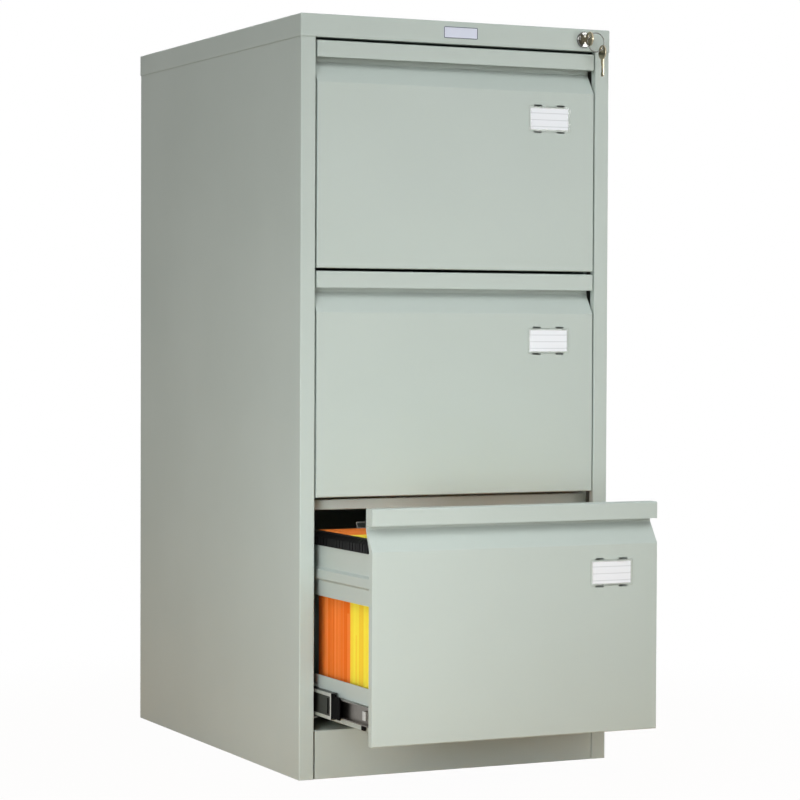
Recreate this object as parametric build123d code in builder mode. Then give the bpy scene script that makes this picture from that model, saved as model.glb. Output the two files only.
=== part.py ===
"""Three-drawer steel suspension filing cabinet, with its bottom drawer drawn out.

Millimetres. +Z is up and the drawers open towards -Y. The origin is on the floor, at the middle of
the footprint of the cabinet's body.
"""

import os
from dataclasses import dataclass
from math import cos, radians, sin

from build123d import *

# Body of folded sheet steel
BODY_WIDTH = 467.0
BODY_DEPTH = 630.0
CABINET_HEIGHT = 1020.0
SHEET = 0.8
INSIDE_BEND = 0.8
POST_FACE = 21.5
POST_RETURN = 11.0
REAR_RETURN = 20.0

# Top cover, which laps over the body
COVER_SHEET = 1.0
COVER_SKIRT = 30.5
COVER_INSIDE_BEND = 1.2
COVER_FLANGE = 14.0
COVER_FLANGE_GAP = 1.0
COVER_SEAT_GAP = 0.8

# Plinth and base tray
PLINTH_HEIGHT = 65.2
PLINTH_GAP = 5.2
PLINTH_SIDE_GAP = 1.2
PLINTH_SHELF = 30.0
PLINTH_FOOT = 15.0
BASE_SETBACK = 4.0

# Drawer fronts, each pressed from one sheet with a full-width grip
DRAWER_NAMES = ("top", "middle", "bottom")
FRONT_GAP = 3.9
FRONT_SIDE_GAP = 2.4
FRONT_FLANGE = 10.0
FRONT_EDGE_LAND = 0.2
BOTTOM_FRONT_SKIRT = 2.3
GRIP_LIP = 22.3
GRIP_DEPTH = 20.0
GRIP_WALL_DROP = 5.0
GRIP_SLOPE = 28.0
LINER_INSET = 1.5
LINER_FLANGE = 7.0
LINER_TOP_DROP = 6.0

# How far the bottom drawer is drawn out
BOTTOM_DRAWER_OPEN = 180.0

# Drawer boxes, measured up from the front's lower edge and down from the sides' tops
SLIDE_THICKNESS = 12.7
SIDE_FOOT = 11.6
SIDE_TOP_DROP = 3.6
SIDE_FLANGE = 14.0
SIDE_HEM = 6.0
SIDE_HEM_DROP = 8.0
BEAD_DROP = 48.3
BEAD_HEIGHT = 18.0
BEAD_DEPTH = 4.0
BEAD_SLOPE = 3.0
WINDOW_BOTTOM = 68.2
WINDOW_TOP_DROP = 69.0
WINDOW_CORNER = 2.0
WINDOW_FRONT = 22.0
WINDOW_REAR = 40.0
PANEL_EDGE_GAP = 1.0
DRAWER_BACK_DROP = 40.4
DRAWER_BACK_FLANGE = 15.0

# Telescopic slides, all sections centred on one line
SLIDE_LINE = 33.6
SLIDE_SETBACK = 1.5
REAR_SPACE = 62.0
SLIDE_SHEET = 1.2
OUTER_DEPTH = 9.5
MID_WEB_GAP = 1.2
MID_EDGE_GAP = 1.8
MID_FRONT_SETBACK = 28.0
INNER_HALF = 12.5
INNER_EDGE_GAP = 1.3
CAGE_START = 150.0
CAGE_LENGTH = 200.0
CAGE_STRIP = 1.6
CAGE_CLEARANCE = 0.3
CAGE_BALLS = 6
OUTER_BALL = 1.75
INNER_BALL = 1.6
OUTER_CAGE_INSET = 5.7
INNER_CAGE_INSET = 7.6
MID_SHARE = 0.5
OUTER_CAGE_SHARE = 0.25
INNER_CAGE_SHARE = 0.75

# Uprights that carry the slides, and rails between the drawers
UPRIGHT_SHEET = 1.2
UPRIGHT_WIDTH = 30.0
UPRIGHT_INSET = 0.5
FRONT_UPRIGHT_SETBACK = 31.0
REAR_UPRIGHT_INSET = 38.0
UPRIGHT_TOP_DROP = 4.5
RAIL_SETBACK = 28.0
RAIL_HEIGHT = 13.7
RAIL_DROP = 14.4
RAIL_DEPTH = 20.0

# Screws that hold the slides to the uprights
SCREW_SHANK = 2.0
SCREW_HEAD = 4.0
SCREW_HEAD_HEIGHT = 0.8
SCREW_TAIL = 1.5
SCREW_CLEARANCE = 0.1
SCREW_SPACING = 16.0

# Lock in the front of the cover
LOCK_SIDE_INSET = 40.8
LOCK_DROP = 15.1
BEZEL_RADIUS = 11.0
BEZEL_HEIGHT = 3.0
BEZEL_CHAMFER = 1.0
BARREL_RADIUS = 8.5
BARREL_LENGTH = 23.0
BARREL_FIT = 0.1
NUT_FLATS = 22.0
NUT_HEIGHT = 4.0
PLUG_RADIUS = 6.0
PLUG_FIT = 0.05
PLUG_PROUD = 0.6
PLUG_REAR_GAP = 0.3
STUD_RADIUS = 3.0
STUD_LENGTH = 3.0
CAM_SHEET = 1.5
CAM_THROW = 9.0
CAM_ANGLE = 45.0
CAM_RIM = 3.0
PIN_RADIUS = 2.0
PIN_TAIL = 0.7

# Lock bar that slides down in the right post
BAR_SHEET = 2.0
BAR_WIDTH = 8.0
BAR_INSET = 5.5
BAR_RUN_GAP = 0.3
BAR_SLOT_PLAY = 0.45
BAR_ARM_RIM = 3.0
HOOK_HEIGHT = 8.0
HOOK_DROP = 9.6
HOOK_SIDE_GAP = 1.7
CATCH_SIDE_GAP = 2.5
CATCH_DEPTH = 6.0
CATCH_REAR_GAP = 1.4
CLIP_SHEET = 0.7
CLIP_HEIGHT = 12.0
CLIP_LEVEL = 120.0

# Keys and their ring
KEY_SHEET = 2.0
KEY_BLADE_WIDTH = 6.6
KEY_BLADE_LENGTH = 22.0
KEY_SHANK_LENGTH = 3.0
KEYWAY_FIT = 0.15
KEY_BOW_RADIUS = 10.0
KEY_HOLE_RADIUS = 3.0
KEY_HOLE_RISE = 3.7
RING_RADIUS = 13.0
RING_WIRE = 0.7
RING_OFFSET = 10.0
SPARE_OFFSET = 20.3
SPARE_SHEET = 1.6
SPARE_BLADE = 24.0

# Labels, placed from the right and top edges of each front
LABEL_SIDE_INSET = 70.1
LABEL_DROP = 92.5
HOLDER_WIDTH = 64.0
HOLDER_HEIGHT = 34.8
HOLDER_THICKNESS = 1.6
HOLDER_CORNER = 1.5
HOLDER_RIM = 3.2
CARD_MARGIN = 0.9
CARD_THICKNESS = 0.4
CARD_FIT = 0.2
LABEL_SLOT_WIDTH = 12.5
LABEL_SLOT_HEIGHT = 3.0
LABEL_SLOT_SPACING = 35.8
LABEL_TAB_SHEET = 0.8
LABEL_TAB_LENGTH = 2.5
LABEL_TAB_FIT = 0.1

# Bare plate on the cover
BADGE_X = 1.5
BADGE_DROP = 15.2
BADGE_WIDTH = 51.0
BADGE_HEIGHT = 15.6
BADGE_THICKNESS = 0.8
BADGE_CORNER = 1.5

# Suspension folders in the bottom drawer
FOLDER_FRONT_GAP = 22.0
FOLDER_PITCH = 10.5
FOLDER_THICKNESS = 8.6
FOLDER_SIDE_GAP = 14.0
FOLDER_FOOT_GAP = 8.0
FOLDER_BOTTOM_ROUND = 3.0
YELLOW_FOLDERS = 9
ORANGE_FOLDERS = 10
BAR_TOP_RISE = 16.0
BAR_FOOT_DROP = 8.0
FOLDER_BAR_SHEET = 2.6
FOLDER_HOOK_SHEET = 2.7
FOLDER_HOOK_FIT = 0.3
FOLDER_HOOK_DROP = 1.2

# Places worked out from the sizes above
half_width = BODY_WIDTH / 2
front_y = -BODY_DEPTH / 2
rear_y = BODY_DEPTH / 2
side_inner_x = half_width - SHEET
bend = SHEET + INSIDE_BEND
post_inner_x = half_width - POST_FACE
cover_under_z = CABINET_HEIGHT - COVER_SHEET
cover_edge_z = CABINET_HEIGHT - COVER_SKIRT
cover_face_y = front_y - COVER_SHEET
cover_bend = COVER_SHEET + COVER_INSIDE_BEND
back_panel_y = rear_y - SHEET
base_top_z = PLINTH_HEIGHT - SHEET
drawer_count = len(DRAWER_NAMES)
opening_height = cover_edge_z - PLINTH_HEIGHT
front_height = (opening_height - FRONT_GAP * drawer_count - PLINTH_GAP) / drawer_count
front_half = post_inner_x - FRONT_SIDE_GAP
lip_bottom = front_height - GRIP_LIP
wall_bottom = lip_bottom - GRIP_WALL_DROP
crease = wall_bottom - GRIP_SLOPE
grip_wall = GRIP_DEPTH - SHEET
liner_rear = FRONT_FLANGE + SHEET
side_top = crease - SIDE_TOP_DROP
bead_bottom = side_top - BEAD_DROP
window_top = side_top - WINDOW_TOP_DROP
hook_foot = side_top - HOOK_DROP
back_top = side_top - DRAWER_BACK_DROP
slide_mount_x = post_inner_x - UPRIGHT_INSET
drawer_side_x = slide_mount_x - SLIDE_THICKNESS
drawer_inner_x = drawer_side_x - SHEET
mid_half = INNER_HALF + SLIDE_SHEET + 2 * (INNER_BALL + CAGE_CLEARANCE)
outer_half = mid_half + SLIDE_SHEET + 2 * (OUTER_BALL + CAGE_CLEARANCE)
mid_x = slide_mount_x - SLIDE_SHEET - MID_WEB_GAP
mid_edge_x = drawer_side_x + MID_EDGE_GAP
inner_edge_x = mid_x - SLIDE_SHEET - INNER_EDGE_GAP
slide_front_y = front_y + liner_rear + SLIDE_SETBACK
slide_rear_y = rear_y - REAR_SPACE
slide_length = slide_rear_y - slide_front_y
drawer_rear = slide_rear_y - front_y
front_upright_y = front_y + FRONT_UPRIGHT_SETBACK
rear_upright_y = slide_rear_y - REAR_UPRIGHT_INSET
lock_x = half_width - LOCK_SIDE_INSET
lock_z = CABINET_HEIGHT - LOCK_DROP
barrel_rear_y = cover_face_y + BARREL_LENGTH
cam_front_y = barrel_rear_y + PLUG_REAR_GAP
bar_rear_y = front_upright_y - BAR_RUN_GAP
bar_front_y = bar_rear_y - BAR_WIDTH
bar_inner_x = post_inner_x + BAR_INSET
pin_x = lock_x + CAM_THROW * cos(radians(CAM_ANGLE))
pin_z = lock_z + CAM_THROW * sin(radians(CAM_ANGLE))
bar_travel = 2 * CAM_THROW * sin(radians(CAM_ANGLE))
hook_inner_x = drawer_side_x + BEAD_DEPTH + HOOK_SIDE_GAP
catch_outer_x = slide_mount_x - CATCH_SIDE_GAP
label_x = front_half - LABEL_SIDE_INSET
label_tab_rise = (HOLDER_HEIGHT - LABEL_TAB_SHEET) / 2
label_slot_rise = (HOLDER_HEIGHT + LABEL_SLOT_HEIGHT) / 2 - LABEL_TAB_SHEET - LABEL_TAB_FIT


@dataclass(frozen=True)
class Drawer:
    """One drawer's name, the level it is measured from, how far it is drawn out and its front's skirt."""

    name: str
    foot_z: float
    drawn: float
    skirt: float

    @property
    def face_y(self):
        """The plane of this drawer's front face."""
        return front_y - self.drawn


def drawer_list():
    """The drawers, from the top one down."""
    drawers = []
    for row, name in enumerate(DRAWER_NAMES):
        steps_up = drawer_count - 1 - row
        foot_z = PLINTH_HEIGHT + PLINTH_GAP + steps_up * (front_height + FRONT_GAP)
        lowest = name == DRAWER_NAMES[-1]
        drawn = BOTTOM_DRAWER_OPEN if lowest else 0.0
        skirt = BOTTOM_FRONT_SKIRT if lowest else 0.0
        drawers.append(Drawer(name, foot_z, drawn, skirt))
    return drawers


drawers = drawer_list()


def save(builder, name, *welded):
    """Labels a finished piece, with what is welded to it, and writes it under that name."""
    solids = [solid for made in (builder, *welded) for solid in made.part.solids()]
    export_step(Compound(solids, label=name), f"parts/{name}.step")


def sheet_profile(plane, points, thickness, side=Side.LEFT):
    """A folded sheet's cross-section, on one side of the line of points."""
    with BuildSketch(plane) as profile:
        with BuildLine():
            FilletPolyline(*points, radius=thickness + INSIDE_BEND)
            offset(amount=thickness, side=side)
        make_face()
    return profile.sketch


def side_plane(x):
    """A plane facing +X at x, whose first axis is +Y and whose second is +Z."""
    return Plane(origin=(x, 0, 0), x_dir=(0, 1, 0), z_dir=(1, 0, 0))


def facing_plane(y):
    """A plane facing -Y at y, whose first axis is +X and whose second is +Z."""
    return Plane(origin=(0, y, 0), x_dir=(1, 0, 0), z_dir=(0, -1, 0))


def build_side_panels():
    """The two sides, each folded into a post at the front and a return at the rear."""
    outline = [
        (post_inner_x, front_y + POST_RETURN),
        (post_inner_x, front_y),
        (half_width, front_y),
        (half_width, rear_y),
        (half_width - REAR_RETURN, rear_y),
    ]
    section = sheet_profile(Plane.XY, outline, SHEET)
    with BuildPart() as right_panel:
        extrude(section, amount=cover_under_z - COVER_SEAT_GAP)
    with BuildPart() as left_panel:
        mirror(right_panel.part, about=Plane.YZ)
    save(right_panel, "right_side_panel")
    save(left_panel, "left_side_panel")


def build_back_panel():
    """The flat back, held inside the rear returns."""
    with BuildPart() as back_panel:
        with BuildSketch(facing_plane(back_panel_y)):
            with Locations((0, cover_under_z / 2)):
                Rectangle(2 * (side_inner_x - bend), cover_under_z)
        extrude(amount=SHEET)
    save(back_panel, "back_panel")


def build_top_cover():
    """The cover: a shallow tray that laps over the body, with a hole for the lock."""
    with BuildPart() as top_cover:
        with BuildSketch(Plane.XY.offset(cover_edge_z)):
            RectangleRounded(BODY_WIDTH + 2 * COVER_SHEET, BODY_DEPTH + 2 * COVER_SHEET, cover_bend)
        extrude(amount=COVER_SKIRT)
        fillet(top_cover.faces().sort_by(Axis.Z)[-1].edges(), radius=COVER_INSIDE_BEND + COVER_SHEET / 2)
        offset(amount=-COVER_SHEET, openings=top_cover.faces().sort_by(Axis.Z)[0], kind=Kind.INTERSECTION)
        with BuildSketch(Plane.XY.offset(cover_edge_z)):
            with Locations((0, front_y + COVER_FLANGE / 2)):
                Rectangle(2 * (post_inner_x - COVER_FLANGE_GAP), COVER_FLANGE)
        extrude(amount=COVER_SHEET)
        with BuildSketch(facing_plane(front_y)):
            with Locations((lock_x, lock_z)):
                Circle(BARREL_RADIUS + BARREL_FIT)
        extrude(amount=COVER_SHEET, mode=Mode.SUBTRACT)
    save(top_cover, "top_cover")


def build_base():
    """The base tray, upside down with its rim on the floor, and the plinth in front of it."""
    tray_front = front_y + PLINTH_FOOT + BASE_SETBACK
    tray_depth = back_panel_y - SHEET - tray_front
    with BuildPart() as base_panel:
        with BuildSketch(Plane.XY):
            with Locations((0, tray_front + tray_depth / 2)):
                Rectangle(2 * side_inner_x, tray_depth)
        extrude(amount=base_top_z)
        offset(
            amount=-SHEET, openings=base_panel.faces().sort_by(Axis.Z)[0], kind=Kind.INTERSECTION
        )
    save(base_panel, "base_panel")

    plinth_half = post_inner_x - PLINTH_SIDE_GAP
    outline = [
        (front_y + PLINTH_FOOT, 0),
        (front_y, 0),
        (front_y, PLINTH_HEIGHT),
        (front_y + PLINTH_SHELF, PLINTH_HEIGHT),
    ]
    section = sheet_profile(side_plane(-plinth_half), outline, SHEET, Side.RIGHT)
    with BuildPart() as plinth:
        extrude(section, amount=2 * plinth_half)
    save(plinth, "plinth")


def screw_levels():
    """Heights of the screws in one upright: two in each slide."""
    levels = []
    for drawer in drawers:
        line_z = drawer.foot_z + SLIDE_LINE
        levels += [line_z - SCREW_SPACING / 2, line_z + SCREW_SPACING / 2]
    return levels


def upright_middle(upright_y):
    """The line of screws down the middle of an upright that starts at upright_y."""
    return upright_y + UPRIGHT_WIDTH / 2


def build_uprights():
    """Two pairs of channels, welded to the sides, that carry the slides."""
    for name, start_y in (("front_uprights", front_upright_y), ("rear_uprights", rear_upright_y)):
        outline = [
            (side_inner_x, start_y),
            (slide_mount_x, start_y),
            (slide_mount_x, start_y + UPRIGHT_WIDTH),
            (side_inner_x, start_y + UPRIGHT_WIDTH),
        ]
        plane = Plane.XY.offset(base_top_z)
        section = sheet_profile(plane, outline, UPRIGHT_SHEET, Side.RIGHT)
        hole_spots = [(upright_middle(start_y), z) for z in screw_levels()]
        with BuildPart() as uprights:
            extrude(section, amount=cover_edge_z - UPRIGHT_TOP_DROP - base_top_z)
            with BuildSketch(side_plane(slide_mount_x)):
                with Locations(*hole_spots):
                    Circle(SCREW_SHANK + SCREW_CLEARANCE)
            extrude(amount=UPRIGHT_SHEET, mode=Mode.SUBTRACT)
            mirror(about=Plane.YZ)
        save(uprights, name)


def build_front_rails():
    """A channel between each drawer and the next, set back behind the fronts."""
    rail_y = front_y + RAIL_SETBACK
    with BuildPart() as front_rails:
        for drawer in drawers[1:]:
            foot_z = drawer.foot_z + front_height - RAIL_DROP
            outline = [
                (rail_y + RAIL_DEPTH, foot_z),
                (rail_y, foot_z),
                (rail_y, foot_z + RAIL_HEIGHT),
                (rail_y + RAIL_DEPTH, foot_z + RAIL_HEIGHT),
            ]
            section = sheet_profile(side_plane(-slide_mount_x), outline, SHEET, Side.RIGHT)
            extrude(section, amount=2 * slide_mount_x)
    save(front_rails, "front_rails")


def channel_section(plane, line_z, web_x, edge_x, half):
    """A slide member's channel: a web at web_x and two flanges that reach to edge_x."""
    inner = half - SLIDE_SHEET
    inward = 1 if edge_x > web_x else -1
    with BuildSketch(plane) as section:
        with BuildLine():
            Polyline(
                (edge_x, line_z + half),
                (web_x, line_z + half),
                (web_x, line_z - half),
                (edge_x, line_z - half),
                (edge_x, line_z - inner),
                (web_x + inward * SLIDE_SHEET, line_z - inner),
                (web_x + inward * SLIDE_SHEET, line_z + inner),
                (edge_x, line_z + inner),
                close=True,
            )
        make_face()
    return section.sketch


def build_cabinet_slides():
    """The outer slide members on the uprights, and the screws that hold them."""
    screw_rows = (upright_middle(front_upright_y), upright_middle(rear_upright_y))
    spots = [(y, z) for y in screw_rows for z in screw_levels()]
    web_inner_x = slide_mount_x - SLIDE_SHEET
    with BuildPart() as cabinet_slides:
        for drawer in drawers:
            line_z = drawer.foot_z + SLIDE_LINE
            section = channel_section(
                facing_plane(slide_rear_y), line_z, slide_mount_x, slide_mount_x - OUTER_DEPTH, outer_half
            )
            extrude(section, amount=slide_length)
        with BuildSketch(side_plane(web_inner_x)):
            with Locations(*spots):
                Circle(SCREW_SHANK + SCREW_CLEARANCE)
        extrude(amount=SLIDE_SHEET, mode=Mode.SUBTRACT)
        mirror(about=Plane.YZ)
    save(cabinet_slides, "cabinet_slides")

    with BuildPart() as slide_screws:
        with BuildSketch(side_plane(web_inner_x)):
            with Locations(*spots):
                Circle(SCREW_SHANK)
        extrude(amount=SLIDE_SHEET + UPRIGHT_SHEET + SCREW_TAIL)
        with BuildSketch(side_plane(web_inner_x)):
            with Locations(*spots):
                Circle(SCREW_HEAD)
        extrude(amount=-SCREW_HEAD_HEIGHT)
        mirror(about=Plane.YZ)
    save(slide_screws, "slide_screws")


def build_lock():
    """The lock's fixed housing and nut, and the plug and cam that turn in it."""
    with BuildPart() as lock_housing:
        with BuildSketch(facing_plane(cover_face_y)):
            with Locations((lock_x, lock_z)):
                Circle(BEZEL_RADIUS)
        extrude(amount=BEZEL_HEIGHT)
        chamfer(lock_housing.faces().sort_by(Axis.Y)[0].edges(), length=BEZEL_CHAMFER)
        with BuildSketch(facing_plane(cover_face_y)):
            with Locations((lock_x, lock_z)):
                Circle(BARREL_RADIUS)
        extrude(amount=-BARREL_LENGTH)
        with BuildSketch(facing_plane(cover_face_y)):
            with Locations((lock_x, lock_z)):
                Circle(PLUG_RADIUS + PLUG_FIT)
        extrude(amount=BARREL_LENGTH, both=True, mode=Mode.SUBTRACT)
    save(lock_housing, "lock_housing")

    with BuildPart() as lock_nut:
        with BuildSketch(facing_plane(front_y)):
            with Locations((lock_x, lock_z)):
                RegularPolygon(NUT_FLATS / 2, 6, major_radius=False)
                Circle(BARREL_RADIUS + BARREL_FIT, mode=Mode.SUBTRACT)
        extrude(amount=-NUT_HEIGHT)
    save(lock_nut, "lock_nut")

    plug_face_y = cover_face_y - BEZEL_HEIGHT - PLUG_PROUD
    keyway_width = KEY_SHEET + 2 * KEYWAY_FIT
    keyway_height = KEY_BLADE_WIDTH + 2 * KEYWAY_FIT
    with BuildPart() as lock_plug:
        with BuildSketch(facing_plane(cam_front_y)):
            with Locations((lock_x, lock_z)):
                Circle(PLUG_RADIUS)
        extrude(amount=cam_front_y - plug_face_y)
        with BuildSketch(facing_plane(cam_front_y)):
            with Locations((lock_x, lock_z)):
                Circle(STUD_RADIUS)
        extrude(amount=-STUD_LENGTH)
        with BuildSketch(facing_plane(plug_face_y)):
            with Locations((lock_x, lock_z)):
                Rectangle(keyway_width, keyway_height)
        extrude(amount=-(KEY_BLADE_LENGTH + KEYWAY_FIT), mode=Mode.SUBTRACT)
    save(lock_plug, "lock_plug")

    cam_rear_y = cam_front_y + CAM_SHEET
    pin_end_y = bar_rear_y + PIN_TAIL
    with BuildPart() as lock_cam:
        with BuildSketch(facing_plane(cam_rear_y)):
            with BuildLine():
                Line((lock_x, lock_z), (pin_x, pin_z))
                offset(amount=PIN_RADIUS + CAM_RIM)
            make_face()
            with Locations((lock_x, lock_z)):
                Circle(STUD_RADIUS + PLUG_FIT, mode=Mode.SUBTRACT)
        extrude(amount=CAM_SHEET)
        with BuildSketch(facing_plane(cam_rear_y)):
            with Locations((pin_x, pin_z)):
                Circle(PIN_RADIUS)
        extrude(amount=cam_rear_y - pin_end_y)
    save(lock_cam, "lock_cam")


def build_lock_bar():
    """The bar that the cam drives down, with a hook for each drawer, and the clips that guide it."""
    slot_left = lock_x + CAM_THROW * cos(radians(CAM_ANGLE)) - PIN_RADIUS - BAR_SLOT_PLAY
    slot_right = lock_x + CAM_THROW + PIN_RADIUS + BAR_SLOT_PLAY
    slot_half = PIN_RADIUS + BAR_SLOT_PLAY
    arm_half = slot_half + BAR_ARM_RIM
    arm_left = slot_left - BAR_ARM_RIM
    bar_outer_x = bar_inner_x + BAR_SHEET
    bar_foot_z = drawers[-1].foot_z + hook_foot
    with BuildPart() as lock_bar:
        with BuildSketch(side_plane(bar_inner_x)):
            with Locations(((bar_front_y + bar_rear_y) / 2, (bar_foot_z + pin_z + arm_half) / 2)):
                Rectangle(BAR_WIDTH, pin_z + arm_half - bar_foot_z)
        extrude(amount=BAR_SHEET)
        with BuildSketch(facing_plane(bar_rear_y)):
            with Locations(((arm_left + bar_outer_x) / 2, pin_z)):
                Rectangle(bar_outer_x - arm_left, 2 * arm_half)
            with Locations(((slot_left + slot_right) / 2, pin_z)):
                Rectangle(slot_right - slot_left, 2 * slot_half, mode=Mode.SUBTRACT)
        extrude(amount=BAR_SHEET)
        for drawer in drawers:
            with BuildSketch(Plane.XY.offset(drawer.foot_z + hook_foot)):
                with Locations(((hook_inner_x + bar_outer_x) / 2, (bar_front_y + bar_rear_y) / 2)):
                    Rectangle(bar_outer_x - hook_inner_x, BAR_WIDTH)
            extrude(amount=HOOK_HEIGHT)
    save(lock_bar, "lock_bar")

    clip_outline = [
        (bar_inner_x - BAR_RUN_GAP, front_upright_y),
        (bar_inner_x - BAR_RUN_GAP, bar_front_y - BAR_RUN_GAP),
        (bar_outer_x + BAR_RUN_GAP, bar_front_y - BAR_RUN_GAP),
        (bar_outer_x + BAR_RUN_GAP, front_upright_y),
    ]
    with BuildPart() as lock_bar_clips:
        for drawer in drawers:
            with BuildSketch(Plane.XY.offset(drawer.foot_z + CLIP_LEVEL)):
                with BuildLine():
                    Polyline(*clip_outline)
                    offset(amount=CLIP_SHEET, side=Side.RIGHT)
                make_face()
            extrude(amount=CLIP_HEIGHT)
    save(lock_bar_clips, "lock_bar_clips")


def build_keys():
    """The key in the plug, the ring through its bow, and the spare key on the ring."""
    plug_face_y = cover_face_y - BEZEL_HEIGHT - PLUG_PROUD
    bow_y = plug_face_y - KEY_SHANK_LENGTH - KEY_BOW_RADIUS
    hole_z = lock_z + KEY_HOLE_RISE
    blade_length = KEY_BLADE_LENGTH + KEY_SHANK_LENGTH + KEY_BOW_RADIUS
    with BuildPart() as key:
        with BuildSketch(side_plane(lock_x - KEY_SHEET / 2)):
            with Locations((bow_y + blade_length / 2, lock_z)):
                Rectangle(blade_length, KEY_BLADE_WIDTH)
            with Locations((bow_y, lock_z)):
                Circle(KEY_BOW_RADIUS)
            with Locations((bow_y, hole_z)):
                Circle(KEY_HOLE_RADIUS, mode=Mode.SUBTRACT)
        extrude(amount=KEY_SHEET)
    save(key, "key")

    # The ring crosses both keys' planes inside their holes.
    ring_x = lock_x + RING_OFFSET
    ring_rise = (RING_RADIUS**2 - RING_OFFSET**2) ** 0.5
    ring_z = hole_z - ring_rise
    ring_plane = Plane(origin=(ring_x, bow_y, ring_z), x_dir=(1, 0, 0), z_dir=(0, 0, 1))
    with BuildPart() as key_ring:
        with BuildSketch(ring_plane):
            with Locations((RING_RADIUS, 0)):
                Circle(RING_WIRE)
        revolve(axis=Axis((ring_x, bow_y, ring_z), (0, 1, 0)))
    save(key_ring, "key_ring")

    spare_x = lock_x + SPARE_OFFSET
    spare_reach = SPARE_OFFSET - RING_OFFSET
    spare_hole_z = ring_z - (RING_RADIUS**2 - spare_reach**2) ** 0.5
    spare_bow_z = spare_hole_z - KEY_HOLE_RISE - KEY_HOLE_RADIUS / 2
    blade_height = SPARE_BLADE + KEY_BOW_RADIUS
    with BuildPart() as spare_key:
        with BuildSketch(side_plane(spare_x - SPARE_SHEET / 2)):
            with Locations((bow_y, spare_bow_z)):
                Circle(KEY_BOW_RADIUS)
            with Locations((bow_y, spare_bow_z - blade_height / 2)):
                Rectangle(KEY_BLADE_WIDTH, blade_height)
            with Locations((bow_y, spare_hole_z)):
                Circle(KEY_HOLE_RADIUS, mode=Mode.SUBTRACT)
        extrude(amount=SPARE_SHEET)
    save(spare_key, "spare_key")


def build_badge_plate():
    """The bare plate in the middle of the cover's front."""
    with BuildPart() as badge_plate:
        with BuildSketch(facing_plane(cover_face_y)):
            with Locations((BADGE_X, CABINET_HEIGHT - BADGE_DROP)):
                RectangleRounded(BADGE_WIDTH, BADGE_HEIGHT, BADGE_CORNER)
        extrude(amount=BADGE_THICKNESS)
    save(badge_plate, "badge_plate")


def label_spots(drawer, rise):
    """Two spots above and two below the middle of a drawer's label, at the given rise."""
    label_z = drawer.foot_z + front_height - LABEL_DROP
    return [
        (label_x + across * LABEL_SLOT_SPACING / 2, label_z + up * rise)
        for across in (-1, 1)
        for up in (-1, 1)
    ]


def build_drawer_front(drawer):
    """A front: one folded sheet with the grip along its top, and a plate welded to each end to close it."""
    face_y = drawer.face_y
    foot_z = drawer.foot_z
    edge_z = foot_z - drawer.skirt
    top_z = foot_z + front_height
    outline = [
        (face_y + FRONT_FLANGE, edge_z),
        (face_y, edge_z),
        (face_y, foot_z + crease),
        (face_y + grip_wall, foot_z + wall_bottom),
        (face_y + grip_wall, top_z - SHEET),
        (face_y + SHEET, top_z - SHEET),
        (face_y + SHEET, foot_z + lip_bottom),
    ]
    inner_half = front_half - SHEET
    section = sheet_profile(side_plane(-inner_half), outline, SHEET, Side.RIGHT)
    end_points = [
        (face_y + FRONT_FLANGE, edge_z),
        (face_y, edge_z),
        (face_y, foot_z + crease),
        (face_y + grip_wall, foot_z + wall_bottom),
        (face_y + grip_wall, foot_z + lip_bottom),
        (face_y, foot_z + lip_bottom),
        (face_y, top_z),
        (face_y + GRIP_DEPTH, top_z),
        (face_y + GRIP_DEPTH, foot_z + wall_bottom),
        (face_y + FRONT_FLANGE, foot_z + crease),
    ]
    with BuildPart() as ends:
        with BuildSketch(side_plane(inner_half)) as end_sketch:
            with BuildLine():
                Polyline(*end_points, close=True)
            make_face()
            corners = end_sketch.vertices()
            fillet(corners.sort_by(Axis.Y)[-2:], radius=bend + SHEET)
            fillet(corners.sort_by_distance((face_y, edge_z))[0], radius=bend)
        extrude(amount=SHEET)
        end_edges = ends.faces().sort_by(Axis.X)[-1].edges()
        fillet(end_edges.filter_by(Axis.Z).group_by(Axis.Y)[0], radius=SHEET - FRONT_EDGE_LAND)
        mirror(about=Plane.YZ)
    with BuildPart() as front:
        extrude(section, amount=2 * inner_half)
        with BuildSketch(facing_plane(face_y)):
            with Locations(*label_spots(drawer, label_slot_rise)):
                Rectangle(LABEL_SLOT_WIDTH, LABEL_SLOT_HEIGHT)
        extrude(amount=-SHEET, mode=Mode.SUBTRACT)
    save(front, f"{drawer.name}_drawer_front", ends)


def build_front_liner(drawer):
    """The tray that closes the rear of a front."""
    rear = drawer.face_y + liner_rear
    foot_z = drawer.foot_z - drawer.skirt + LINER_INSET
    top_z = drawer.foot_z + crease - LINER_TOP_DROP
    liner_half = front_half - SHEET - LINER_INSET
    outline = [
        (rear - LINER_FLANGE, foot_z),
        (rear, foot_z),
        (rear, top_z),
        (rear - LINER_FLANGE, top_z),
    ]
    section = sheet_profile(side_plane(-liner_half), outline, SHEET)
    with BuildPart() as liner:
        extrude(section, amount=2 * liner_half)
    save(liner, f"{drawer.name}_drawer_front_liner")


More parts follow.
